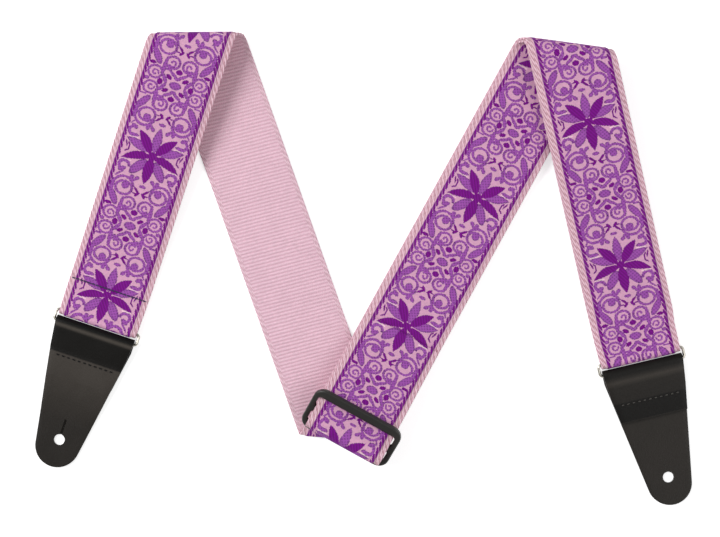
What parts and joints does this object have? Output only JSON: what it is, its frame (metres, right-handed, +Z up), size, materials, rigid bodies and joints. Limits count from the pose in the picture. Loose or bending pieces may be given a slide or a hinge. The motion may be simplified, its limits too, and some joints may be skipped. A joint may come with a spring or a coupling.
{
  "type": "guitar strap",
  "caption": "Adjustable guitar strap of doubled webbing with a floral jacquard ribbon, a sliding three-bar buckle and leather button ends on wire rings, laid out folded",
  "frame": {"origin": "middle of the left button hole, on the surface that the strap lies on", "axes": "+Z up from the surface; +X to the right, along the longer side of the laid-out strap; +Y away from the button holes towards the upper folds"},
  "size_m": [0.3987, 0.2863, 0.025],
  "materials": {
    "webbing": "pale pink ribbed woven webbing",
    "jacquard": "pink, lilac and purple floral jacquard ribbon",
    "seam_thread": "purple sewing thread",
    "navy_thread": "navy sewing thread",
    "ring_metal": "nickel-plated steel wire",
    "leather": "black leather with a soft sheen",
    "black_thread": "black waxed thread",
    "slider_plastic": "black moulded plastic, matt"
  },
  "bodies": {
    "strap": {"webbing": "webbing", "jacquard_ribbon": "jacquard", "ribbon_seams": "seam_thread", "anchor_stitches": "navy_thread"},
    "left_link": {"left_ring": "ring_metal"},
    "left_button_end": {"left_end": "leather", "left_end_stitches": "black_thread"},
    "right_link": {"right_ring": "ring_metal"},
    "right_button_end": {"right_end": "leather", "right_end_stitches": "black_thread"},
    "slider_group": {"slider": "slider_plastic", "crown_webbing": "webbing", "crown_ribbon": "jacquard", "loop_webbing": "webbing", "loop_ribbon": "jacquard", "loop_stitches": "navy_thread"}
  },
  "joints": [
    {"name": "left_ring_swing", "type": "hinge", "parent": "strap", "child": "left_link", "pos_m": [0.02399, 0.07169, 0.0033], "axis": [-0.9483, 0.3173, 0], "range_deg": [-85, 85]},
    {"name": "left_end_swing", "type": "hinge", "parent": "left_link", "child": "left_button_end", "pos_m": [0.0218, 0.06515, 0.0033], "axis": [-0.9483, 0.3173, 0], "range_deg": [-85, 85]},
    {"name": "right_ring_swing", "type": "hinge", "parent": "strap", "child": "right_link", "pos_m": [0.35244, 0.05079, 0.0033], "axis": [-0.9732, -0.23, 0], "range_deg": [-85, 85]},
    {"name": "right_end_swing", "type": "hinge", "parent": "right_link", "child": "right_button_end", "pos_m": [0.35403, 0.04407, 0.0033], "axis": [-0.9732, -0.23, 0], "range_deg": [-85, 85]},
    {"name": "slider_travel", "type": "slide", "parent": "strap", "child": "slider_group", "axis": [0.4833, 0.8755, 0], "range_m": [0, 0.145]}
  ]
}
